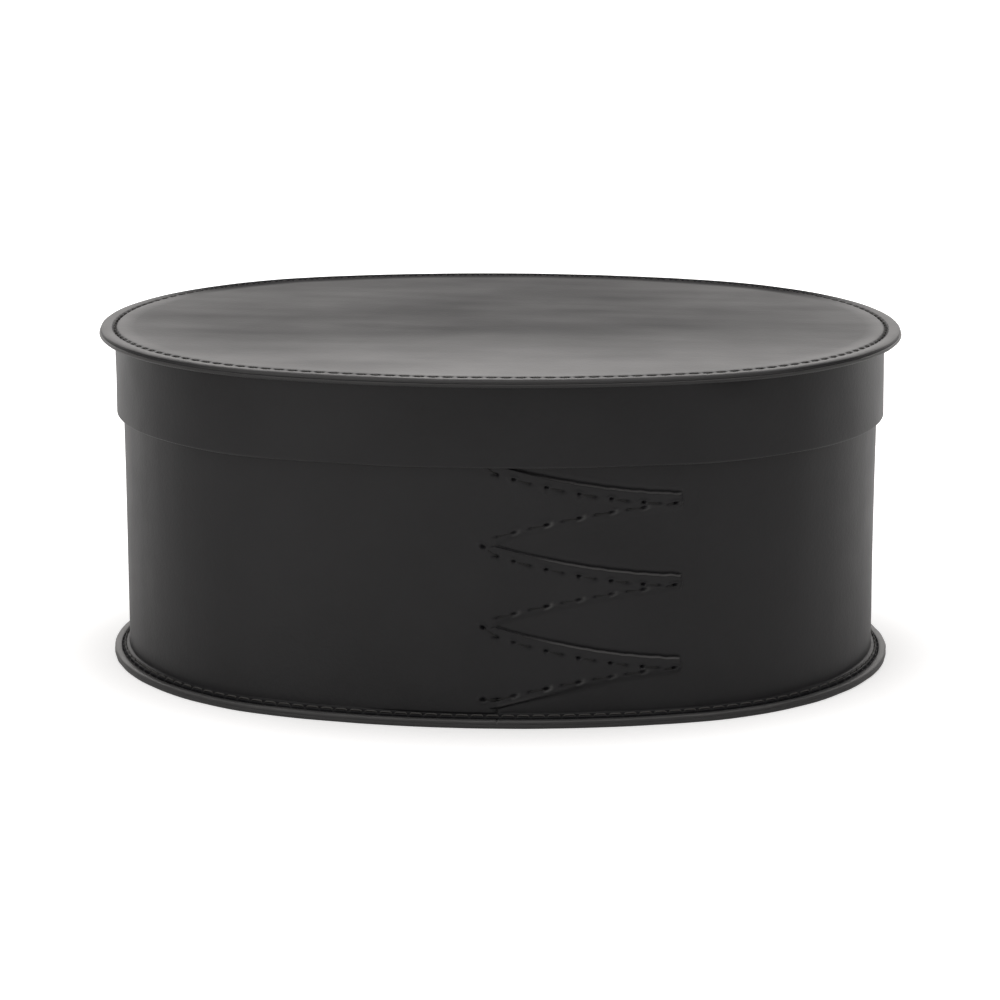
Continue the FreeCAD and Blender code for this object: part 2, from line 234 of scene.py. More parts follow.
distance = stitch_distances(SOLE_STITCHES, SOLE_SEAM, (0, 0.1, 0.5, 0.9))
path = oval_path(distance, SOLE_SEAM)
groove = ((0.55, 0), (0.4, 0.25), (0.23, 0.65), (0, 0.8), (-0.23, 0.65), (-0.4, 0.25), (-0.55, 0))
rows = np.array(
    [[MIDDLE, 0], [70, 0], [40, 0], [15, 0], [7.5, 0]]
    + [[SOLE_SEAM + off, up] for off, up in groove]
    + [[4, 0]]
    + bend(SOLE_EDGE + 0.5, 0.5, 0.5, -90, 0, 5)
    + [[SOLE_EDGE, 0.9]]
    + bend(SOLE_EDGE + 0.1, SOLE_TOP - 0.1, 0.1, 0, 90, 3)
    + [[9, SOLE_TOP], [50, SOLE_TOP], [MIDDLE, SOLE_TOP]])
inset, z = rows[:, :1], rows[:, 1:]
nominal = on_path(path, inset, z)
rim = smooth((3.6 - inset) / 0.8)
inset = inset + rim * (0.06 + 0.09 * waves(nominal, 14, 3))
points = on_path(path, inset, z)
faces = quads(*points.shape[:2])
faces += oval_cap(0, len(distance), False)
faces += oval_cap((len(rows) - 1) * len(distance), len(distance), True)
leather_piece("sole", "box", "sole_panel", points, faces, 0.5 * rim + 0 * inset, calf)


# Wall: a long strip of the same leather bent round an oval block on edge. Its foot is
# turned outwards over the sole and sewn to it along the bend, behind a pressed groove.
# Its end is cut into four swallowtail fingers, lies over its pared start and is sewn flat.

FLANGE_TOP = 2.6
FOOT_GROOVE = 5.35
BED_INSET = 6.15
THREAD_BED = 3.25
FOOT_BEND = 0.85
WALL_INSET = 7.7
WALL_THICK = 1.2
WALL_TOP = 110.7
LAP_RISE = 0.8
LAP_START = -44.0
LAP_RAMP = 34.0
FINGER_ROOT = 3.9
FINGER_TIP = 63.0
FINGER_BOW = 1.6
FINGER_DROOP = 0.5
TIP_WIDTH = 6.0
TIP_ROUND = 0.5
TIP_INSET = 2.7
TIP_HOLE_DROP = 0.35
CUT_HIGH = 0.65
TIP_HIGH = (-0.2, 0.7, 0.93, 0.5)
LAP_STITCH_PITCH = 10.25
LAP_STITCH_LENGTH = 5.2
LEG_STITCHES = 5
TIP_STITCH = 2.4
NOTCH_STITCH = 4.5
SEAM_MARGIN = 3.2
SEAM_DENT = 0.12
HOLE_DEPTH = 0.75
HOLE_LIP = 0.18

# A fine grid lies over this stretch of each lapped strip, from its root to past its tips.
# The coarse face of the strip is pushed back under it.
WINDOW = (-50.0, 68.0)
WINDOW_FADE = 1.5
PUSH_BACK = 0.7


def finger_edges(along, low, high, count):
    """Heights of the lower and the upper edge of each finger, which are cut by hand."""
    width = (high - low) / count
    number = np.arange(count).reshape(-1, *([1] * np.ndim(along)))
    lower = low + width * number + CUT_HIGH * (number > 0)
    upper = low + width * (number + 1) + CUT_HIGH * (number < count - 1)
    tip = low + width * (number + 0.5) - FINGER_DROOP + np.array(TIP_HIGH)[number]
    share = np.clip((along - FINGER_ROOT) / (FINGER_TIP - TIP_ROUND - FINGER_ROOT), 0, 1)
    bow = 4 * FINGER_BOW * share * (1 - share)
    cut = share * (0.09 * np.sin(along / 1.2 + 2.3 * number) + 0.07 * np.sin(along / 0.72 + number))
    lower_edge = lower + (tip - TIP_WIDTH / 2 - lower) * share + bow + cut
    upper_edge = upper + (tip + TIP_WIDTH / 2 - upper) * share - bow + cut
    return lower_edge, upper_edge, tip


def finger_seam(low, high, count):
    """Needle hole and far end of each stitch: distance along, height, distance along, height."""
    tip_hole = FINGER_TIP - TIP_INSET
    notch_hole = FINGER_ROOT - NOTCH_STITCH
    roots, heads, tips = finger_edges(np.array(FINGER_ROOT), low, high, count)
    tips = tips - TIP_HOLE_DROP
    stitches = [(notch_hole, low + SEAM_MARGIN, FINGER_ROOT, low + SEAM_MARGIN)]
    for k in range(count):
        lower, tip = roots[k], tips[k]
        legs = ((lower + SEAM_MARGIN, FINGER_BOW, -LAP_STITCH_LENGTH),
                (heads[k] - SEAM_MARGIN, -FINGER_BOW, LAP_STITCH_LENGTH))
        for root, bow, reach in legs:
            for n in range(1, LEG_STITCHES + 1):
                hole = tip_hole - n * LAP_STITCH_PITCH
                ends = []
                for along in (hole, hole + reach):
                    share = (along - FINGER_ROOT) / (tip_hole - FINGER_ROOT)
                    ends += [along, root + (tip - root) * share + 4 * bow * share * (1 - share)]
                stitches.append(ends)
        stitches.append((tip_hole, tip + 0.2, tip_hole - TIP_STITCH, tip - 0.2))
        if k:
            stitches.append((notch_hole, lower, FINGER_ROOT, lower - SEAM_MARGIN))
    return np.array(stitches)


def lap_height(along, z, low, high, count):
    """How far the lap stands over the strip's own face, and the painted highlights and shade on it.

    Each finger's upper edge is cut square and stands off a little, its lower edge and its
    tip are pared thin. The thread pulls the leather in, most of all at the needle holes.
    """
    lower, upper, tip = finger_edges(along, low, high, count)
    # 0 at the roots of the fingers and 1 further out, where the edges stand off more.
    away = smooth((along - 6) / 22)
    height = smooth((FINGER_ROOT - along) / 0.9) * ((z < low) | (z > high))
    rubbed_and_painted_light = np.zeros(np.shape(height + z))
    beyond = smooth((along - FINGER_ROOT + 0.2) / 0.6) * smooth((FINGER_TIP + 0.3 - along) / 1.4)
    hollow = 0.35 * np.clip(1 - (along - FINGER_ROOT) / 0.7, 0, 1) * (along > FINGER_ROOT) * (z < low)
    for k in range(count):
        end = FINGER_TIP - TIP_ROUND * ((z - tip[k]) / (TIP_WIDTH / 2)) ** 2 - along
        cut = np.clip((upper[k] - z) / (0.28 + 0.32 * away), 0, 1)
        paring = 3.4 if k else 0.9 + 2.5 * smooth((along - 8) / 36)
        pared = smooth((z - lower[k]) / paring) * smooth(end / 0.5)
        # Each finger's cut upper edge is lightened: a painted highlight.
        painted_edge_highlight = (0.85 * np.clip(6 * cut * (1 - cut), 0, 1) * pared * away
                      * smooth((along - FINGER_ROOT) / 2))
        cut = 1 - (1 - cut) * smooth((along - FINGER_ROOT) / 0.9 + 1)
        pared = 1 - (1 - pared) * smooth((along - FINGER_ROOT) / 2.5 + 1)
        height = np.maximum(height, cut * pared * (z >= lower[k]) * (z <= upper[k]))
        rubbed_and_painted_light = np.maximum(rubbed_and_painted_light, painted_edge_highlight)
        above, below = z - upper[k], lower[k] - z
        # The strip just above each upper edge is pressed in and loses its shine: painted shade.
        slot = np.clip(1 - above / (0.7 + 0.4 * away), 0, 1) * (above > 0)
        hollow = np.maximum(hollow, beyond * slot * (0.18 + 0.32 * away))
        rubbed_and_painted_light = rubbed_and_painted_light - (0.6 + 0.2 * away) * beyond * np.minimum(1.6 * slot, 1)
        # The lower edge of the lowest finger is left thick at its root, where it shows. The strip
        # below it is pressed in and given painted shade, and a band above it a painted highlight.
        if k == 0:
            under = 0.4 * np.clip(1 - below / 1.0, 0, 1) * smooth((44 - along) / 30) * (below > 0)
            hollow = np.maximum(hollow, beyond * under)
            rubbed_and_painted_light = rubbed_and_painted_light - 1.5 * beyond * under
            ridge = np.exp(-(((z - lower[k] - 1.0) / 0.6) ** 2)) * smooth((36 - along) / 24)
            rubbed_and_painted_light = rubbed_and_painted_light + 0.35 * beyond * ridge
    height = LAP_RISE * height * smooth((along - LAP_START) / LAP_RAMP) - hollow
    for a0, z0, a1, z1 in finger_seam(low, high, count):
        at_notch = a0 < 0
        size = 0.55 if at_notch else 0.42
        length = np.hypot(a1 - a0, z1 - z0)
        way, side = (a1 - a0) / length, (z1 - z0) / length
        run = (along - a0) * way + (z - z0) * side
        off = (z - z0) * way - (along - a0) * side
        line = np.clip(np.abs(run / length - 0.5) - 0.5, 0, 1) * length
        height = height - SEAM_DENT * np.exp(-(off ** 2 + line ** 2) / 0.5 ** 2)
        hole = np.hypot(run / (2.1 if a1 < a0 else 1.6), off)
        far = np.hypot((run - length) / 1.8, off)
        pull = 1.0 if a0 > FINGER_TIP - 5 else 0.75 + 0.25 * np.sin(5.3 * a0 + 2.1 * z0)
        pit = pull * np.exp(-((hole / size) ** 4))
        swell = np.exp(-(((hole - size - 0.45) / 0.3) ** 2))
        end_pit = np.exp(-((far / 0.4) ** 2))
        height = height - HOLE_DEPTH * pit + HOLE_LIP * swell - (0.7 if at_notch else 0.3) * end_pit
        # Needle holes and the far ends of the stitches lose their shine: painted shade.
        rubbed_and_painted_light = rubbed_and_painted_light - 0.95 * pit - (0.8 if at_notch else 0.45) * end_pit
        # The lips of the holes of the lower legs are lightened on one side: a painted highlight.
        if a1 < a0 < FINGER_TIP - 5:
            rubbed_and_painted_light = rubbed_and_painted_light + 0.8 * pull * swell * np.clip((along - a0 - z + z0) / 0.9, 0, 1)
    return height, np.clip(rubbed_and_painted_light, -1, 1)


def lap_patch(face, middle, low, high, count, bottom, top):
    """Fine grid over a lap, its rows following the edges of the fingers."""
    marks = [np.arange(WINDOW[0], -5, 2.5), np.arange(-5, 2, 0.28), [WINDOW[1]]]
    marks.append(FINGER_ROOT + np.array([-0.5, -0.25, -0.1, 0, 0.12, 0.3, 0.55, 0.9, 1.4, 2.2, 3.2]))
    steps = [-1.5, -1.1, -0.85, -0.65, -0.45, -0.2, 0, 0.2, 0.45, 0.65, 0.85]
    steps += [1.1, 1.6, 2.6, 3.7, 4.5, 4.9, 5.2, 5.5, 6, 7, 8]
    for n in range(1, LEG_STITCHES + 1):
        marks.append(FINGER_TIP - TIP_INSET - n * LAP_STITCH_PITCH + np.array(steps))
    steps = [-4.4, -3.9, -3.4, -2.8, -2.2, -1.8, -1.5, -1.2, -0.9, -0.7, -0.5, -0.33, -0.2, -0.1, 0]
    marks.append(FINGER_TIP + np.array(steps))
    marks.append(FINGER_TIP + np.array([0.12, 0.25, 0.4, 0.7, 1.2, 2, 3.5]))
    along = np.unique(np.concatenate(marks))
    along = along[np.append(True, np.diff(along) > 0.08)]
    lower, upper, _ = finger_edges(along, low, high, count)
    upper[-1] = np.minimum(upper[-1], top - 0.3)
    for k in range(count - 1):
        mid = (upper[k] + lower[k + 1]) / 2
        half = np.maximum((lower[k + 1] - upper[k]) / 2, 0.25)
        upper[k], lower[k + 1] = mid - half, mid + half
    inner = np.array([0, 0.06, 0.14, 0.25, 0.4, 0.6, 0.85, 1.2, 1.7, 2.2, 2.5]
                     + [2.75, 2.95, 3.15, 3.35, 3.6, 3.9, 4.6, 6, 8, 10.5])
    outer = np.array([0.06, 0.14, 0.25, 0.4, 0.7, 1.2, 2.2, 4, 6.5, 9])

    def spread(reach, steps):
        """Steps from an edge that are pressed together where the reach is short."""
        share = steps[:, None] / reach
        return reach * share / (1 + share ** 4) ** 0.25

    rows = [np.full((1, len(along)), bottom), lower[0] - spread(lower[0] - bottom, outer[::-1])]
    for k in range(count):
        half = (upper[k] - lower[k]) / 2
        rows += [lower[k] + spread(half, inner), (lower[k] + half)[None]]
        rows.append(upper[k] - spread(half, inner[::-1]))
        if k < count - 1:
            half = (lower[k + 1] - upper[k]) / 2
            rows += [upper[k] + spread(half, outer), lower[k + 1] - spread(half, outer[::-1])]
    rows += [upper[-1] + spread(top - upper[-1], outer), np.full((1, len(along)), top)]
    z = np.vstack(rows)
    height, rubbed_and_painted_light = lap_height(along, z, low, high, count)
    path = oval_path(middle + along, WALL_INSET)
    nominal = on_path(path, face, z)
    points = on_path(path, face + strip_waves(nominal) - height, z)
    return points, rubbed_and_painted_light


def strip_waves(points):
    """Slight unevenness of a strip that was bent wet round its block."""
    return 0.10 * waves(points, 34, 11) + 0.035 * waves(points, 11, 12)


WALL_LAP = (FLANGE_TOP + 2.4, WALL_TOP - 0.3, 4)
distance = stitch_distances(SOLE_STITCHES, SOLE_SEAM, (0, 0.07, 0.17, 0.5, 0.83, 0.93))
extra = [WINDOW[0] - 0.05, WINDOW[0], WINDOW[0] + WINDOW_FADE]
extra += [WINDOW[1] - WINDOW_FADE, WINDOW[1], WINDOW[1] + 0.05]
extra += (FINGER_ROOT + np.array([-0.5, -0.3, -0.15, 0, 0.1, 0.2, 0.35, 0.6, 1, 1.5, 2.2, 3])).tolist()
extra = np.mod(extra, oval_ends(WALL_INSET)[-1])
extra = np.interp(extra, oval_ends(WALL_INSET), oval_ends(SOLE_SEAM))
extra = np.mod(extra, oval_ends(SOLE_SEAM)[-1])
distance = np.unique(np.concatenate([distance, extra]))
path = oval_path(distance, SOLE_SEAM)
along = np.interp(distance, oval_ends(SOLE_SEAM), oval_ends(WALL_INSET))
along = np.where(along > oval_ends(WALL_INSET)[-1] / 2, along - oval_ends(WALL_INSET)[-1], along)
lapped = (along > WINDOW[0] - 0.01) & (along < WINDOW[1] + 0.01)
foot, head = 4.2, 109.9
heights = (foot - 0.05, foot, 6, 16, 32, 48, 64, 80, 96, 108, head, head + 0.05, 110.15)
groove = ((-0.85, 2.57), (-0.55, 2.47), (-0.35, 2.3), (-0.23, 2.1), (-0.1, 1.94), (0.1, 1.94),
          (0.23, 2.1), (0.33, 2.45), (0.42, 2.8), (0.57, 3.02))
rows = np.array(
    [[6.7, SOLE_TOP], [4.5, SOLE_TOP]]
    + bend(SOLE_EDGE + 0.1, SOLE_TOP + 0.1, 0.1, -90, 0, 3)
    + bend(SOLE_EDGE + 0.8, FLANGE_TOP - 0.8, 0.8, 0, 90, 8)
    + [[3.9, FLANGE_TOP]]
    + [[FOOT_GROOVE + off, up] for off, up in groove]
    + [[BED_INSET, 3.12], [6.5, 3.18]]
    + bend(WALL_INSET - 0.75, 4.0, 0.75, 270, 180, 6)
    + [[WALL_INSET, z] for z in heights]
    + bend(WALL_INSET + 0.3, WALL_TOP - 0.3, 0.3, 0, 90, 4)
    + bend(WALL_INSET + WALL_THICK - 0.3, WALL_TOP - 0.3, 0.3, 90, 180, 4)
    + [[WALL_INSET + WALL_THICK, 60]]
    + bend(6.7, SOLE_TOP + 2.2, 2.2, 180, 270, 5)[:-1])
inset, z = rows[:, :1] + 0 * distance, rows[:, 1:] + 0 * distance
nominal = on_path(path, inset, z)
edge = smooth((3.7 - inset) / 0.8)
mouth = np.exp(-(((z - WALL_TOP) / 0.25) ** 2))
upright = smooth((z - THREAD_BED) / FOOT_BEND) * (inset < 8.7)
height, _ = lap_height(along, np.maximum(z, 4.0), *WALL_LAP)
height = np.where(lapped & (z > THREAD_BED - 0.01) & (inset > 6.6) & (inset < 8.05), height, 0)
standing = np.clip((z - THREAD_BED) / FOOT_BEND, 0, 1)
window = smooth((along - WINDOW[0]) / WINDOW_FADE) * smooth((WINDOW[1] - along) / WINDOW_FADE)
hidden = (rows[:, :1] == WALL_INSET) & (rows[:, 1:] > foot + 0.01) & (rows[:, 1:] < head - 0.01)
height = np.where(hidden, -PUSH_BACK * window, height)
inset = inset + upright * strip_waves(nominal) - np.sqrt(standing) * height
inset = inset + edge * (0.05 + 0.09 * waves(nominal, 13, 5))
pits = hole_pits(distance, SOLE_STITCHES, SOLE_SEAM, 0.5)
groove_line = np.exp(-(((rows[:, :1] - FOOT_GROOVE) / 0.3) ** 2))
groove_line = groove_line * (rows[:, 1:] > 1.9) * (rows[:, 1:] < 2.7)
z = z + 0.4 * groove_line * pits * (2.5 - z)
on_top = (rows[:, 1:] > 1.93) & (rows[:, :1] < 6.3) & (rows[:, 1:] < 3.2)
z = z - 0.3 * on_top * pits * np.exp(-(((rows[:, :1] - BED_INSET) / 0.3) ** 2))
z = z - 0.04 * on_top * waves(nominal, 9, 6) * smooth((inset - 2.6) / 0.6)
seam_line = np.exp(-(((along - FINGER_ROOT) / 0.22) ** 2)) * smooth((6.4 - rows[:, :1]) / 1.5)
z = z - 0.3 * on_top * seam_line
ring = on_path(path, inset, z)
ring_faces = quads(*ring.shape[:2], loop=True)
# The floor of the groove and the bend at the foot of the wall lose their shine: painted shade.
painted_groove_shade = smooth((inset - 4.75) / 0.2) * smooth((6.0 - inset) / 0.15) * smooth((3.05 - z) / 0.35)
painted_crease_shade = smooth((inset - 6.4) / 0.2) * smooth((4.6 - z) / 1.0) * (inset < 7.9) * (z > 3.0)
# The top of the lip outside the groove is lightened: a painted highlight.
painted_lip_highlight = smooth((inset - SOLE_EDGE) / 0.3) * smooth((4.7 - inset) / 0.7) * on_top
ring_wear_and_painted_light = np.maximum(0.5 * edge, painted_lip_highlight) + 0.3 * mouth
ring_wear_and_painted_light = ring_wear_and_painted_light - 0.85 * on_top * painted_groove_shade * (1 - 0.5 * pits) - 0.2 * painted_crease_shade * (1 - painted_groove_shade)
ring_wear_and_painted_light = np.clip(ring_wear_and_painted_light, -1, 1)
patch, patch_wear_and_painted_light = lap_patch(WALL_INSET, 0.0, *WALL_LAP, foot, head)
patch_faces = np.array(quads(*patch.shape[:2], ring=False)) + ring[..., 0].size
points = np.vstack([ring.reshape(-1, 3), patch.reshape(-1, 3)])
wear_and_painted_light_map = np.concatenate([ring_wear_and_painted_light.ravel(), patch_wear_and_painted_light.ravel()])
leather_piece("wall", "box", "wall_strip", points, ring_faces + patch_faces.tolist(), wear_and_painted_light_map, calf)


# Linings of the box: thin pigskin round the inside of the wall, its ends butted at the
# back, and a pad of it on the sole. Both are glued. They are plain solids of the frame
# and only get their finish here.

# Pigskin, drum-dyed dark taupe and left unglazed. It is matt and slightly napped, with
# the pores that pigskin has in little groups of three.
pigskin = bpy.data.materials.new("unglazed_taupe_pigskin")
pigskin.use_nodes = True
t = pigskin.node_tree
surface = t.nodes["Principled BSDF"]
place = add(t, "ShaderNodeTexCoord", {}).outputs["Object"]
cloud = add(t, "ShaderNodeTexNoise", {"Vector": place, "Scale": 1 / (30 * MM), "Detail": 4.0})
tint = add(t, "ShaderNodeMix", {
    0: cloud.outputs["Fac"], 6: linear("#3a332d"), 7: linear("#4c443c")}, data_type="RGBA")
pore = add(t, "ShaderNodeTexVoronoi", {"Vector": place, "Scale": 1 / (2.2 * MM)})
spot = add(t, "ShaderNodeMapRange", {
    "Value": pore.outputs["Distance"], "From Min": 0.08, "From Max": 0.22, "To Min": 0.0, "To Max": 1.0})
dotted = add(t, "ShaderNodeMix", {
    0: spot.outputs[0], 6: linear("#241f1b"), 7: tint.outputs[2]}, data_type="RGBA")
t.links.new(dotted.outputs[2], surface.inputs["Base Color"])
nap = add(t, "ShaderNodeTexNoise", {"Vector": place, "Scale": 1 / (0.6 * MM), "Detail": 2.0})
soft = add(t, "ShaderNodeBump", {
    "Height": nap.outputs["Fac"], "Strength": 0.4, "Distance": 0.15 * MM})
pits = add(t, "ShaderNodeBump", {
    "Height": spot.outputs[0], "Strength": 0.5, "Distance": 0.15 * MM, "Normal": soft.outputs[0]})
t.links.new(pits.outputs[0], surface.inputs["Normal"])
surface.inputs["Roughness"].default_value = 0.85
surface.inputs["Sheen Weight"].default_value = 0.15

for node_name in ("wall_lining", "sole_lining"):
    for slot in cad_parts[node_name].material_slots:
        slot.material = pigskin


# Thread round the foot: waxed linen, saddle-stitched through the foot of the wall and the
# sole. On top every stitch lies on the bend of the wall, just behind the groove, and
# under the sole it lies in a groove. It dives into a needle hole at both ends.

THREAD_WIDTH = 0.55

# Three-ply linen, dyed black and pulled through wax, so it is dull black with the lay of
# its plies. Where the attribute is raised it is grey: a painted highlight for the light on
# the tops of its stitches.
linen = bpy.data.materials.new("waxed_black_linen")
linen.use_nodes = True
t = linen.node_tree
surface = t.nodes["Principled BSDF"]
place = add(t, "ShaderNodeTexCoord", {}).outputs["Object"]
fibre = add(t, "ShaderNodeTexNoise", {"Vector": place, "Scale": 1 / (0.4 * MM), "Detail": 3.0})
fresh = add(t, "ShaderNodeMix", {
    0: fibre.outputs["Fac"], 6: linear("#1c1c1c"), 7: linear("#2a2a2a")}, data_type="RGBA")
grey = add(t, "ShaderNodeMix", {
    0: fibre.outputs["Fac"], 6: linear("#484847"), 7: linear("#666563")}, data_type="RGBA")
wear_and_painted_light = add(t, "ShaderNodeAttribute", {}, attribute_name="wear_and_painted_light")
shade = add(t, "ShaderNodeMix", {
    0: wear_and_painted_light.outputs["Fac"], 6: fresh.outputs[2], 7: grey.outputs[2]}, data_type="RGBA")
t.links.new(shade.outputs[2], surface.inputs["Base Color"])
ply = add(t, "ShaderNodeBump", {
    "Height": fibre.outputs["Fac"], "Strength": 0.5, "Distance": 0.1 * MM})
t.links.new(ply.outputs[0], surface.inputs["Normal"])
surface.inputs["Roughness"].default_value = 0.7
surface.inputs["Specular IOR Level"].default_value = 0.2

stitching = bpy.data.node_groups.new("stitches_between_holes", "GeometryNodeTree")
face = stitching.interface
face.new_socket("Geometry", in_out="OUTPUT", socket_type="NodeSocketGeometry")
face.new_socket("Holes", in_out="INPUT", socket_type="NodeSocketGeometry")
thread_inputs = {}
for name, kind in (("Thread width", "Float"), ("Dive at the holes", "Float"), ("Slant", "Float"),
                   ("Seed", "Int"), ("Thread", "Material")):
    socket = face.new_socket(name, in_out="INPUT", socket_type="NodeSocket" + kind)
    thread_inputs[name] = socket.identifier
given = add(stitching, "NodeGroupInput", {}).outputs
run = add(stitching, "GeometryNodeCurvePrimitiveLine", {"Start": (0, 0, 0), "End": (1, 0, 0)})
run = add(stitching, "GeometryNodeResampleCurve", {"Curve": run.outputs[0], "Count": 9})
at = add(stitching, "GeometryNodeInputPosition", {})
at = add(stitching, "ShaderNodeSeparateXYZ", {0: at.outputs[0]})
off = add(stitching, "ShaderNodeMath", {0: at.outputs[0], 1: 2.0, 2: -1.0}, operation="MULTIPLY_ADD")
off = add(stitching, "ShaderNodeMath", {0: off.outputs[0], 1: off.outputs[0]}, operation="MULTIPLY")
off = add(stitching, "ShaderNodeMath", {0: off.outputs[0], 1: 3.5}, operation="POWER")
drop = add(stitching, "ShaderNodeMath", {
    0: off.outputs[0], 1: given["Dive at the holes"]}, operation="MULTIPLY")
drop = add(stitching, "ShaderNodeMath", {0: drop.outputs[0], 1: -1.0}, operation="MULTIPLY")
drop = add(stitching, "ShaderNodeCombineXYZ", {2: drop.outputs[0]})
run = add(stitching, "GeometryNodeSetPosition", {
    "Geometry": run.outputs[0], "Offset": drop.outputs[0]})
radius = add(stitching, "ShaderNodeMath", {0: given["Thread width"], 1: 0.5}, operation="MULTIPLY")
section = add(stitching, "GeometryNodeCurvePrimitiveCircle", {
    "Resolution": 6, "Radius": radius.outputs[0]})
bar = add(stitching, "GeometryNodeCurveToMesh", {
    "Curve": run.outputs[0], "Profile Curve": section.outputs[0]})
heading = add(stitching, "GeometryNodeInputNamedAttribute", {
    "Name": "heading"}, data_type="FLOAT_VECTOR")
outward = add(stitching, "GeometryNodeInputNamedAttribute", {
    "Name": "outward"}, data_type="FLOAT_VECTOR")
span = add(stitching, "GeometryNodeInputNamedAttribute", {"Name": "span"}, data_type="FLOAT")
turn = add(stitching, "FunctionNodeAlignRotationToVector", {"Vector": heading.outputs[0]}, axis="X")
turn = add(stitching, "FunctionNodeAlignRotationToVector", {
    "Rotation": turn.outputs[0], "Vector": outward.outputs[0]}, axis="Z", pivot_axis="X")
least = add(stitching, "ShaderNodeMath", {0: given["Slant"], 1: -1.0}, operation="MULTIPLY")
lean = add(stitching, "FunctionNodeRandomValue", {
    2: least.outputs[0], 3: given["Slant"], "Seed": given["Seed"]}, data_type="FLOAT")
lean = add(stitching, "FunctionNodeAxisAngleToRotation", {
    "Axis": (0, 0, 1), "Angle": lean.outputs[1]})
turn = add(stitching, "FunctionNodeRotateRotation", {
    "Rotation": turn.outputs[0], "Rotate By": lean.outputs[0]}, rotation_space="LOCAL")
size = add(stitching, "ShaderNodeCombineXYZ", {0: span.outputs[0], 1: 1.0, 2: 1.0})
sewn = add(stitching, "GeometryNodeInstanceOnPoints", {
    "Points": given["Holes"], "Instance": bar.outputs[0],
    "Rotation": turn.outputs[0], "Scale": size.outputs[0]})
sewn = add(stitching, "GeometryNodeRealizeInstances", {"Geometry": sewn.outputs[0]})
sewn = add(stitching, "GeometryNodeSetMaterial", {
    "Geometry": sewn.outputs[0], "Material": given["Thread"]})
add(stitching, "NodeGroupOutput", {"Geometry": sewn.outputs[0]})


def sew(name, body, node, start, end, outward, dive, slant, seed, thread_highlight):
    """Thread pieces from the two ends of each stitch, in millimetres, and the way out."""
    reach = end - start
    length = np.linalg.norm(reach, axis=-1, keepdims=True)
    mesh = bpy.data.meshes.new(name + "_holes")
    mesh.from_pydata((start * MM).tolist(), [], [])
    for label, vectors in (("heading", reach / length), ("outward", outward)):
        mesh.attributes.new(label, "FLOAT_VECTOR", "POINT").data.foreach_set("vector", vectors.ravel())
    mesh.attributes.new("span", "FLOAT", "POINT").data.foreach_set("value", (length * MM).ravel())
    holes = bpy.data.objects.new(name + "_holes", mesh)
    bpy.context.scene.collection.objects.link(holes)
    modifier = holes.modifiers.new("stitches", "NODES")
    modifier.node_group = stitching
    modifier[thread_inputs["Thread width"]] = THREAD_WIDTH * MM
    modifier[thread_inputs["Dive at the holes"]] = dive * MM
    modifier[thread_inputs["Slant"]] = slant
    modifier[thread_inputs["Seed"]] = seed
    modifier[thread_inputs["Thread"]] = linen
    scene_now = bpy.context.evaluated_depsgraph_get()
    thread = bpy.data.meshes.new_from_object(holes.evaluated_get(scene_now))
    bpy.data.objects.remove(holes)
    # The whole thread gets one raised value, a painted highlight that makes it greyer.
    thread_highlight_share = [thread_highlight] * len(thread.vertices)
    thread.attributes.new("wear_and_painted_light", "FLOAT", "POINT").data.foreach_set("value", thread_highlight_share)
    thread.shade_smooth()
    piece = bpy.data.objects.new(name, thread)
    bpy.context.scene.collection.objects.link(piece)
    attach(piece, body)
    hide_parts(node)


def rim_holes(count, inset, margin, levels):
    """Ends of the stitches round a rim. Each level has a height, a way out and an inset."""
    pitch = oval_ends(inset)[-1] / count
    hole = np.arange(count) * pitch
    first, last = oval_path(hole + margin, inset), oval_path(hole + pitch - margin, inset)
    start = np.vstack([on_path(first, seam, z) for z, _, seam in levels])
    end = np.vstack([on_path(last, seam, z) for z, _, seam in levels])
    out = np.vstack([np.tile([0.0, 0.0, up], (count, 1)) for _, up, _ in levels])
    return start, end, out


both_sides = [(THREAD_BED + 0.17, 1, BED_INSET), (0.50, -1, SOLE_SEAM)]
holes = rim_holes(SOLE_STITCHES, SOLE_SEAM, 0.5, both_sides)
sew("sole_thread", "box", "sole_stitching", *holes, dive=0.35, slant=0.04, seed=1, thread_highlight=0.8)


# Thread along the fingers: the same linen in a running stitch, long stitches with as
# long a gap, from a hole behind each notch along both edges to a short one in the tip.

def lap_holes(face, middle, low, high, count):
    """Ends of the stitches of a lap and their ways out."""
    a0, z0, a1, z1 = finger_seam(low, high, count).T
    clear = 0.5 / np.hypot(a1 - a0, z1 - z0)
    a0, z0 = a0 + clear * (a1 - a0), z0 + clear * (z1 - z0)
    inset = face - LAP_RISE + 0.18
    first, last = oval_path(middle + a0, WALL_INSET), oval_path(middle + a1, WALL_INSET)
    out = np.stack([(first[3] + last[3]) / 2, (first[4] + last[4]) / 2, 0 * a0], axis=-1)
    return on_path(first, inset, z0), on_path(last, inset, z1), out


holes = lap_holes(WALL_INSET, 0.0, *WALL_LAP)
sew("finger_thread", "box", "lap_stitching", *holes, dive=0.6, slant=0.03, seed=2, thread_highlight=0.1)


# Lid top: an oval of the same leather laid flat over the turned-out edge of its band.
# The thread pulls a groove into it, and the strip outside the groove swells like a pillow.

LID_SEAM = 5.2
LID_STITCHES = 160
LID_TOP = 113.0
LID_UNDER = 111.6

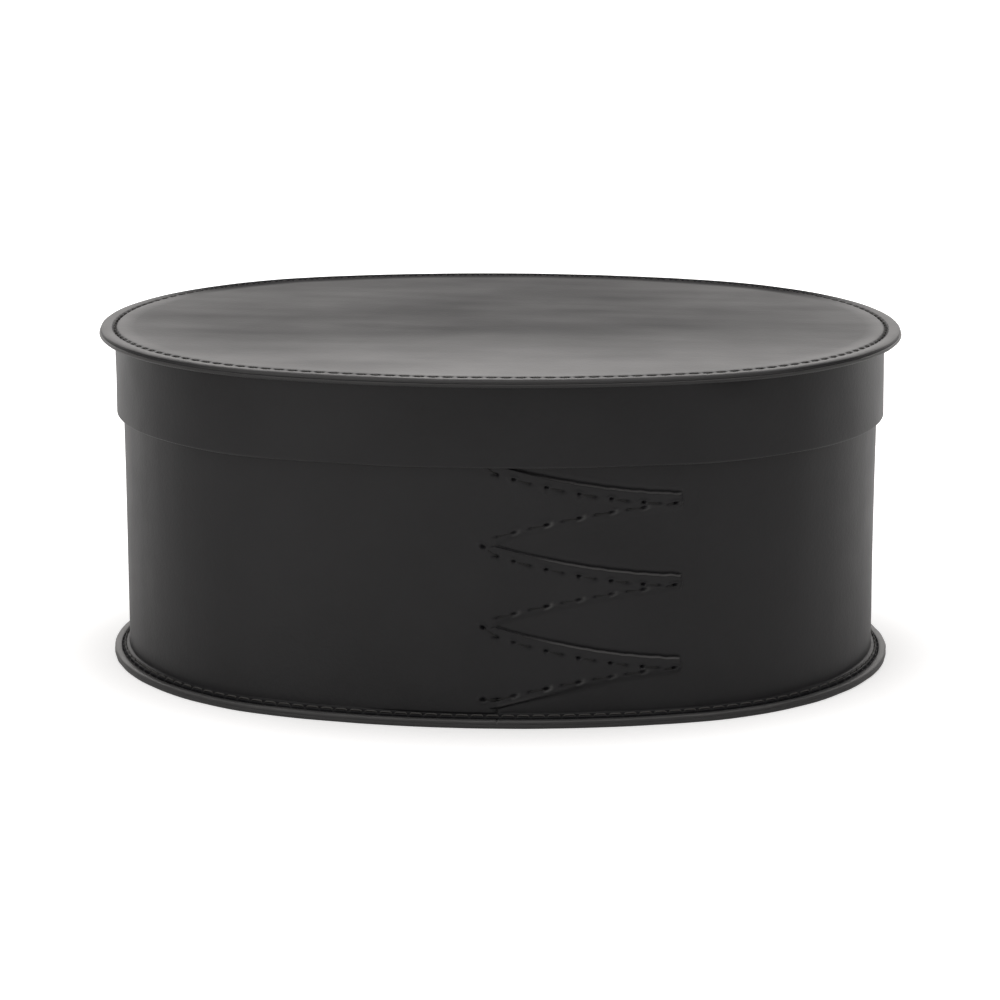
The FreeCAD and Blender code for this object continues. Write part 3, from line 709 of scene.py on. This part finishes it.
distance = stitch_distances(LID_STITCHES, LID_SEAM, (0, 0.07, 0.14, 0.24, 0.5, 0.76, 0.86, 0.93))
path = oval_path(distance, LID_SEAM)
rows = np.array(
    [[MIDDLE, LID_UNDER], [50, LID_UNDER], [8, LID_UNDER], [0.65, LID_UNDER]]
    + bend(0.6, LID_UNDER + 0.15, 0.15, -90, 0, 3)
    + (np.array(bend(0, 0, 1, 0, 80, 9)) * [1.77, 0.95] + [2.2, LID_TOP - 0.95]).tolist()
    + [[2.4, LID_TOP], [3.0, 112.97], [3.6, 112.9], [4.05, 112.8], [4.33, 112.68], [4.52, 112.45]]
    + [[4.7, 112.22], [4.9, 112.1], [LID_SEAM, 112.06], [5.5, 112.1], [5.7, 112.25], [5.85, 112.5]]
    + [[6.0, 112.72], [6.25, 112.88], [6.9, 112.95], [7.9, 112.98], [9.5, 112.99]]
    + [[inset, LID_TOP] for inset in np.linspace(12, MIDDLE, 22)])
inset, z = rows[:, :1] + 0 * distance, rows[:, 1:] + 0 * distance
nominal = on_path(path, inset, z)
above = rows[:, 1:] > LID_UNDER + 0.01
edge = smooth((1.6 - inset) / 1.0) * above
on_top = (rows[:, 1:] > 112.0) * smooth((inset - 0.5) / 1.0)
trough = (np.abs(rows[:, :1] - LID_SEAM) < 1.1) * on_top
ends = smooth((np.abs(nominal[..., 0]) - 116) / 12)
pits = hole_pits(distance, LID_STITCHES, LID_SEAM, 1.55) * (1 - 0.65 * ends)
painted_groove_shade = trough * smooth((112.93 - z) / 0.15)
z = z + 0.9 * trough * pits * np.clip(112.9 - z, 0, 1)
field = smooth((rows[:, :1] - 6) / 7) * on_top
z = z - 0.13 * field * (1.5 + waves(nominal, 60, 21)) - 0.02 * on_top * (2 + waves(nominal, 15, 22))
inset = inset + edge * (0.02 + 0.06 * waves(nominal, 17, 23))
points = on_path(path, inset, z)
faces = quads(*points.shape[:2])
faces += oval_cap(0, len(distance), False)
faces += oval_cap((len(rows) - 1) * len(distance), len(distance), True)
# Its front edge is lighter from the rubbing of hands. Its shine is taken away more and
# more towards its middle and back, less at its ends and in soft patches: painted shade,
# standing in for the top mirroring less of the bright room there. Its back rim and the
# groove of the seam get painted shade the same way.
across, deep = nominal[..., 0], nominal[..., 1]
patches = waves(nominal * np.array([0.35, 1, 1]), 34, 24)
patches = patches + 0.5 * waves(nominal * np.array([0.3, 1, 1]), 12, 25)
dull = 0.7 * smooth((deep + 92) / 85) * (1 - 0.33 * (across / 130) ** 2) + 0.05 * patches
shaded = 0.94 * smooth((deep - 20) / 50) * (1 - smooth((inset - 8.5) / 6)) * on_top
dull = np.maximum(np.clip(dull, 0, 0.9) * field, shaded)
cut = smooth((1.2 - inset) / 0.4) * above * smooth((112.6 - rows[:, 1:]) / 0.2)
handled = smooth((-deep - 55) / 35)
painted_groove_shade = (0.9 - 0.3 * ends) * painted_groove_shade * (1 - 0.95 * pits)
wear_and_painted_light_map = cut * (0.85 * handled - 0.4) - np.maximum(dull, painted_groove_shade)
leather_piece("lid_oval", "lid", "lid_top", points, faces, wear_and_painted_light_map, calf)


# Lid band: a strip on edge that goes down over the wall. Its upper edge is turned
# outwards under the top and sewn to it, and it laps at the back with a single finger.

BAND_INSET = 5.4
BAND_THICK = 1.2
BAND_FOOT = 83.8
BAND_FLANGE = 110.4
BAND_SEAM = 4.25
BAND_LAP = (BAND_FOOT + 1.2, BAND_FLANGE - 2.4, 1)

back = oval_ends(WALL_INSET)[-1] / 2
distance = stitch_distances(LID_STITCHES, LID_SEAM, (0, 0.1, 0.3, 0.5, 0.7, 0.9))
extra = back + np.array(
    [WINDOW[0] - 0.05, WINDOW[0], WINDOW[0] + WINDOW_FADE]
    + [3.4, 3.6, 3.75, 3.9, 4.0, 4.1, 4.25, 4.5, 4.9, 5.5]
    + [WINDOW[1] - WINDOW_FADE, WINDOW[1], WINDOW[1] + 0.05])
extra = np.interp(extra, oval_ends(WALL_INSET), oval_ends(LID_SEAM))
distance = np.unique(np.concatenate([distance, extra]))
path = oval_path(distance, LID_SEAM)
along = np.interp(distance, oval_ends(LID_SEAM), oval_ends(WALL_INSET)) - back
lapped = (along > WINDOW[0] - 0.01) & (along < WINDOW[1] + 0.01)
foot, head = 84.5, 109.4
heights = (foot - 0.05, foot, 86, 90, 96, 102, 107.5, head, head + 0.05)
groove = ((0.43, 110.5), (0.3, 110.9), (0, 111.0), (-0.3, 110.9), (-0.45, 110.5), (-0.65, BAND_FLANGE))
rows = np.array(
    [[6.3, BAND_FOOT]]
    + bend(BAND_INSET + 0.4, BAND_FOOT + 0.4, 0.4, -90, 0, 6)
    + [[BAND_INSET, z] for z in heights]
    + bend(BAND_INSET - 0.6, BAND_FLANGE - 0.6, 0.6, 180, 90, 5)
    + [[BAND_SEAM + off, up] for off, up in groove]
    + bend(0.5, BAND_FLANGE + 0.5, 0.5, -90, 0, 6)
    + bend(0.55, LID_UNDER - 0.55, 0.55, 0, 90, 6)
    + bend(BAND_INSET - 0.6, LID_UNDER - 1.8, 1.8, 90, 180, 5)
    + [[BAND_INSET + BAND_THICK, 97]]
    + bend(BAND_INSET + BAND_THICK - 0.3, BAND_FOOT + 0.3, 0.3, 180, 270, 4)[:-1])
inset, z = rows[:, :1] + 0 * distance, rows[:, 1:] + 0 * distance
nominal = on_path(path, inset, z)
edge = smooth((1.3 - rows[:, :1]) / 0.8)
mouth = np.exp(-(((rows[:, 1:] - BAND_FOOT) / 0.35) ** 2))
upright = smooth((109.8 - rows[:, 1:]) / 1.5)
height, _ = lap_height(along, z, *BAND_LAP)
outer = (rows[:, :1] > 4.7) & (rows[:, :1] < 5.75) & (rows[:, 1:] < BAND_FLANGE)
height = np.where(lapped & outer, height, 0)
standing = np.clip((BAND_FLANGE - rows[:, 1:]) / 0.6, 0, 1)
window = smooth((along - WINDOW[0]) / WINDOW_FADE) * smooth((WINDOW[1] - along) / WINDOW_FADE)
hidden = (rows[:, :1] == BAND_INSET) & (rows[:, 1:] > foot + 0.01) & (rows[:, 1:] < head - 0.01)
height = np.where(hidden, -PUSH_BACK * window, height)
inset = inset + upright * strip_waves(nominal) * (rows[:, :1] < 6) - np.sqrt(standing) * height
inset = inset + edge * (0.04 + 0.06 * waves(nominal, 15, 31))
z = z + 0.10 * mouth * waves(nominal, 40, 32)
ring = on_path(path, inset, z)
ring_faces = quads(*ring.shape[:2], loop=True)
# Painted highlights: the turned-out edge, most towards the ends, and the lower edge are lighter.
ends = smooth((np.abs(nominal[..., 0]) - 70) / 50)
ring_wear_and_painted_light = np.clip((0.35 + 0.4 * ends) * edge + 0.4 * mouth, 0, 1)
patch, patch_wear_and_painted_light = lap_patch(BAND_INSET, back, *BAND_LAP, foot, head)
patch_faces = np.array(quads(*patch.shape[:2], ring=False)) + ring[..., 0].size
points = np.vstack([ring.reshape(-1, 3), patch.reshape(-1, 3)])
wear_and_painted_light_map = np.concatenate([ring_wear_and_painted_light.ravel(), patch_wear_and_painted_light.ravel()])
leather_piece("band", "lid", "lid_band", points, ring_faces + patch_faces.tolist(), wear_and_painted_light_map, calf)


# Lid lining: a pad of the pigskin glued under the top, on which the lid rests.

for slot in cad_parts["lid_lining"].material_slots:
    slot.material = pigskin


# Thread of the lid: round the brim in the groove of the top, under its flange, and
# along the finger at the back of the band.

both_sides = [(112.7, 1, LID_SEAM), (110.72, -1, BAND_SEAM)]
holes = rim_holes(LID_STITCHES, LID_SEAM, 1.2, both_sides)
sew("brim_thread", "lid", "lid_stitching", *holes, dive=0.5, slant=0.05, seed=3, thread_highlight=0.6)
holes = lap_holes(BAND_INSET, back, *BAND_LAP)
sew("band_thread", "lid", "band_stitching", *holes, dive=0.6, slant=0.03, seed=4, thread_highlight=0.1)


# Floor: a table covered with matt white paper. Away from the box it glows a little, so
# that the camera sees it as pure white, and only the soft shadow of the box darkens it.
# The leather mirrors the glow of its far side only.

TABLE_HALF = 4
floor_mesh = bpy.data.meshes.new("table")
corners = [(TABLE_HALF * x, TABLE_HALF * y, 0) for x, y in ((-1, -1), (1, -1), (1, 1), (-1, 1))]
floor_mesh.from_pydata(corners, [], [(0, 1, 2, 3)])
table = bpy.data.objects.new("table", floor_mesh)
bpy.context.scene.collection.objects.link(table)
paper = bpy.data.materials.new("white_table")
paper.use_nodes = True
t = paper.node_tree
surface = t.nodes["Principled BSDF"]
surface.inputs["Base Color"].default_value = linear("#e6e6e6")
surface.inputs["Roughness"].default_value = 0.9
surface.inputs["Specular IOR Level"].default_value = 0.1
spot = add(t, "ShaderNodeTexCoord", {}).outputs["Object"]
oval = add(t, "ShaderNodeVectorMath", {0: spot, 1: (0.76, 1.0, 1.0)}, operation="MULTIPLY")
away = add(t, "ShaderNodeVectorMath", {0: oval.outputs[0]}, operation="LENGTH").outputs["Value"]
seen = add(t, "ShaderNodeMapRange", {
    "Value": away, "From Min": 0.095, "From Max": 0.16, "To Min": 0.42, "To Max": 1.0})
depth = add(t, "ShaderNodeSeparateXYZ", {0: spot}).outputs["Y"]
mirrored = add(t, "ShaderNodeMapRange", {
    "Value": depth, "From Min": -0.1, "From Max": 0.6, "To Min": 0.0, "To Max": 0.7})
rays = add(t, "ShaderNodeLightPath", {}).outputs
seen = add(t, "ShaderNodeMath", {0: seen.outputs[0], 1: rays["Is Camera Ray"]}, operation="MULTIPLY")
mirrored = add(t, "ShaderNodeMath", {
    0: mirrored.outputs[0], 1: rays["Is Glossy Ray"], 2: seen.outputs[0]}, operation="MULTIPLY_ADD")
glow = add(t, "ShaderNodeEmission", {"Color": (1, 1, 1, 1), "Strength": mirrored.outputs[0]})
both = add(t, "ShaderNodeAddShader", {0: surface.outputs[0], 1: glow.outputs[0]})
t.links.new(both.outputs[0], t.nodes["Material Output"].inputs["Surface"])
floor_mesh.materials.append(paper)


# Studio: a white room seen behind the box, a large soft light overhead, one behind, one
# at each side of that and a weak one at the front left. The front gets little light, so
# that the leather stays dark there.

world = bpy.data.worlds.new("studio")
bpy.context.scene.world = world
world.use_nodes = True
t = world.node_tree
room = t.nodes["Background"]
way = add(t, "ShaderNodeTexCoord", {}).outputs["Generated"]
way = add(t, "ShaderNodeSeparateXYZ", {0: way}).outputs["Y"]
mirrored = add(t, "ShaderNodeMapRange", {
    "Value": way, "From Min": 0.6, "From Max": 0.98, "To Min": 0.23, "To Max": 1.0})
rays = add(t, "ShaderNodeLightPath", {}).outputs
level = add(t, "ShaderNodeMix", {
    0: rays["Is Glossy Ray"], 2: 0.3, 3: mirrored.outputs[0]}, data_type="FLOAT")
level = add(t, "ShaderNodeMix", {
    0: rays["Is Camera Ray"], 2: level.outputs[0], 3: 1.0}, data_type="FLOAT")
t.links.new(level.outputs[0], room.inputs["Strength"])
tint = add(t, "ShaderNodeMix", {
    0: rays["Is Camera Ray"], 6: linear("#fffcfa"), 7: linear("#ffffff")}, data_type="RGBA")
t.links.new(tint.outputs[2], room.inputs["Color"])


def softbox(name, place, aim, width, height, power):
    """A large soft lamp that faces a point."""
    lamp = bpy.data.lights.new(name, "AREA")
    lamp.shape = "RECTANGLE"
    lamp.size, lamp.size_y = width, height
    lamp.energy = power
    lamp.color = linear("#fffcfa")[:3]
    box = bpy.data.objects.new(name, lamp)
    bpy.context.scene.collection.objects.link(box)
    box.visible_camera = False
    offset = np.array(place) - np.array(aim)
    yaw = math.atan2(offset[0], -offset[1])
    tilt = math.atan2(np.hypot(offset[0], offset[1]), offset[2])
    box.location = place
    box.rotation_euler = (tilt, 0, yaw)


softbox("overhead", (0.0, -0.1, 1.4), (0.0, -0.1, 0.0), width=1.8, height=1.8, power=11)
softbox("backdrop", (0.0, 1.3, 0.75), (0.0, 0.0, 0.75), width=2.2, height=0.9, power=6.6)
softbox("left", (-1.2, 1.2, 0.6), (0.0, 0.0, 0.2), width=0.8, height=1.0, power=1.5)
softbox("right", (1.2, 1.2, 0.6), (0.0, 0.0, 0.2), width=0.8, height=1.0, power=1.5)
softbox("fill", (-1.1, -1.5, 0.6), (0.0, 0.0, 0.1), width=1.2, height=1.0, power=4)


# Camera: a long lens in front of the box and a little above and to the right of it, as
# the outlines of the brim, the wall and the sole in the photo give it.

lens = bpy.data.cameras.new("camera")
lens.sensor_width = 36
lens.lens = 120.4
eye = bpy.data.objects.new("camera", lens)
bpy.context.scene.collection.objects.link(eye)
eye.location = (0.0553, -1.112, 0.3135)
eye.rotation_euler = (math.pi / 2 - 0.2315, 0, 0.0496)
bpy.context.scene.camera = eye
bpy.context.scene.view_settings.view_transform = "Standard"

bpy.context.view_layer.update()
